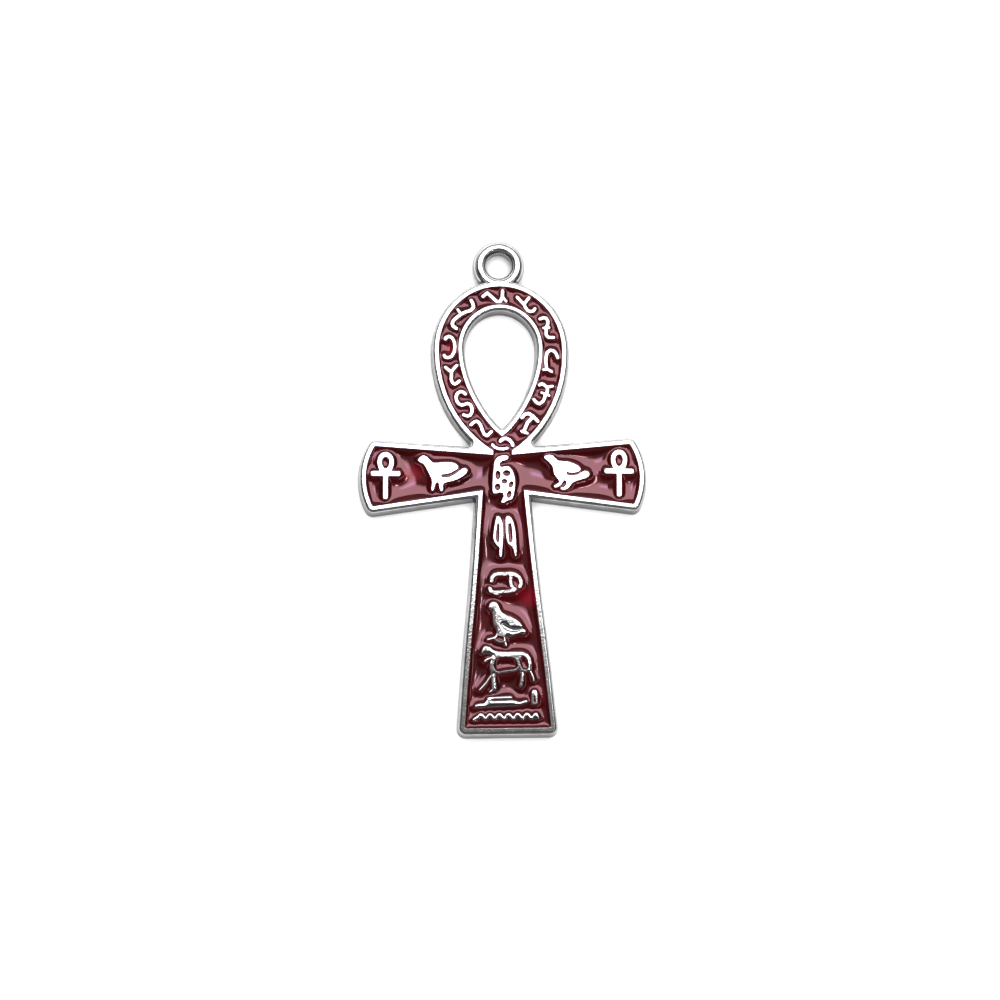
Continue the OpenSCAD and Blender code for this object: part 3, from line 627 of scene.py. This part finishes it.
def bump(tree, shader, value, strength, distance):
    node = tree.nodes.new("ShaderNodeBump")
    node.inputs["Strength"].default_value = strength
    node.inputs["Distance"].default_value = distance
    tree.links.new(value, node.inputs["Height"])
    tree.links.new(node.outputs["Normal"], shader.inputs["Normal"])


silver, tree, shader = material_of("cast_silver_metal")
shader.inputs["Specular Tint"].default_value = METAL_TINT
blotches = noise(tree, 900, 4, 0.6)
way = tree.nodes.new("ShaderNodeTexCoord")
# Painted shade: faces that look sideways get the darker copy of the metal's colour
looks_up = ramped(tree, parts_of(tree, way.outputs["Normal"])["Z"], *LOOKS_UP)
# Painted shade: towards the foot the walls turn to a dark, non-metallic colour, which draws the dark
# line along their lower edge
unshaded_share = ramped(tree, parts_of(tree, way.outputs["Object"])["Z"], *(z * MM for z in PAINTED_FOOT_SHADE_HEIGHTS))
tree.links.new(unshaded_share, shader.inputs["Metallic"])
flanks = blended(tree, unshaded_share, PAINTED_FOOT_SHADE, cloudy(tree, blotches, SHADED_FLANK_METAL))
metal_colour = blended(tree, looks_up, flanks, cloudy(tree, blotches, BRIGHT_METAL))
tree.links.new(metal_colour, shader.inputs["Base Color"])
tree.links.new(ramped(tree, noise(tree, 3800, 4, 0.6), 0.3, 0.7, 0.03, 0.08), shader.inputs["Roughness"])
bump(tree, shader, noise(tree, 4500, 3, 0.55), 0.3, 0.00002)

red, tree, shader = material_of("dark_red_enamel")
body_red = cloudy(tree, noise(tree, 260, 2, 0.5), BODY_RED)
at = tree.nodes.new("ShaderNodeTexCoord").outputs["Object"]
# Painted glow: brighter red spots in the enamel's colour, where light glows inside it
glow = 0
for x, y, reach in RED_GLOWS:
    apart = calculated(tree, "DISTANCE", at, (x * MM, y * MM, TOP * MM), kind="ShaderNodeVectorMath")
    glow = calculated(tree, "MAXIMUM", glow, ramped(tree, apart, reach * MM, 0))
tree.links.new(blended(tree, glow, body_red, GLOW_RED), shader.inputs["Base Color"])
shader.inputs["Roughness"].default_value = 0.07
shader.inputs["IOR"].default_value = 1.85
shader.inputs["Specular Tint"].default_value = ENAMEL_TINT
bump(tree, shader, noise(tree, 2400, 3, 0.6), 0.1, 0.00001)

paper, tree, shader = material_of("pale_floor")
shader.inputs["Base Color"].default_value = FLOOR_WHITE
shader.inputs["Roughness"].default_value = 0.9

# Pieces
body = metal.build("pendant_metal", silver, "silver_metal")
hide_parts("casting")
outer = [loop for loop in pools if area(loop) > 0]
inner = [loop for loop in pools if area(loop) < 0]
largest = max(outer, key=area)
islands = [loop for loop in inner if inside(loop.mean(0)[None], [largest])[0]]
field = enamel_shell([largest, *islands]).build("enamel_pool", red, "red_enamel")
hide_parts("enamel_field")
spots = Shell()
for loop in outer:
    if loop is not largest:
        spots.take(enamel_shell([loop]))
small_pools = spots.build("enamel_small_pools", red, "red_enamel")
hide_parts("enamel_spots")

# Floor
bpy.ops.mesh.primitive_plane_add(size=FLOOR_SIZE, location=(0, 0, -FLOOR_BELOW))
ground = bpy.context.object
ground.name = "floor"
ground.data.materials.append(paper)
ground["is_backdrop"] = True

# Lamps, each fading out over a strip along its edges
for number, (name, x, y, radiance, fade, colour) in enumerate(LAMPS):
    light = bpy.data.lights.new(name, "AREA")
    light.shape = "RECTANGLE"
    light.size, light.size_y = x[1] - x[0], y[1] - y[0]
    light.energy = radiance * math.pi * light.size * light.size_y
    light.color = colour
    light.use_nodes = True
    tree = light.node_tree
    across = parts_of(tree, tree.nodes.new("ShaderNodeNewGeometry").outputs["Parametric"])
    strength = 1
    for axis, size in (("X", light.size), ("Y", light.size_y)):
        for far, way in ((0, 1), (1, -1)):
            edge = ramped(tree, across[axis], far, far + way * fade / size, smooth=True)
            strength = calculated(tree, "MULTIPLY", strength, edge)
    tree.links.new(strength, tree.nodes["Emission"].inputs["Strength"])
    lamp = bpy.data.objects.new(name, light)
    lamp.location = (sum(x) / 2, sum(y) / 2, LIGHT_HEIGHT + LIGHT_APART * (number + 1))
    lamp.visible_glossy = name not in UNMIRRORED
    bpy.context.scene.collection.objects.link(lamp)

# The room beyond them, dim above and in front
world = bpy.data.worlds.new("studio")
bpy.context.scene.world = world
world.use_nodes = True
tree = world.node_tree
background = tree.nodes["Background"]
background.inputs["Color"].default_value = ROOM_COLOUR
toward = parts_of(tree, tree.nodes.new("ShaderNodeTexCoord").outputs["Generated"])
gains = [ramped(tree, toward[axis], *ends, smooth=True) for axis, *ends in ROOM_GAINS]
tree.links.new(calculated(tree, "MULTIPLY_ADD", *gains, ROOM_LIGHT), background.inputs["Strength"])
bpy.context.scene.view_settings.view_transform = "Standard"

# Camera
look = Vector((
    math.sin(AZIMUTH) * math.cos(ELEVATION),
    -math.cos(AZIMUTH) * math.cos(ELEVATION),
    math.sin(ELEVATION),
))
up = (Vector((0, 1, 0)) - look.y * look).normalized()
right = up.cross(look)
up, right = (
    up * math.cos(ROLL) + right * math.sin(ROLL),
    right * math.cos(ROLL) - up * math.sin(ROLL),
)
camera = bpy.data.objects.new("camera", bpy.data.cameras.new("camera"))
camera.data.lens = LENS
camera.data.clip_start, camera.data.clip_end = CLIP
place = Matrix.Translation(TARGET + look * DISTANCE - right * ACROSS - up * UP)
camera.matrix_world = place @ Matrix((right, up, look)).transposed().to_4x4()
bpy.context.scene.collection.objects.link(camera)
bpy.context.scene.camera = camera

low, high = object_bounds()
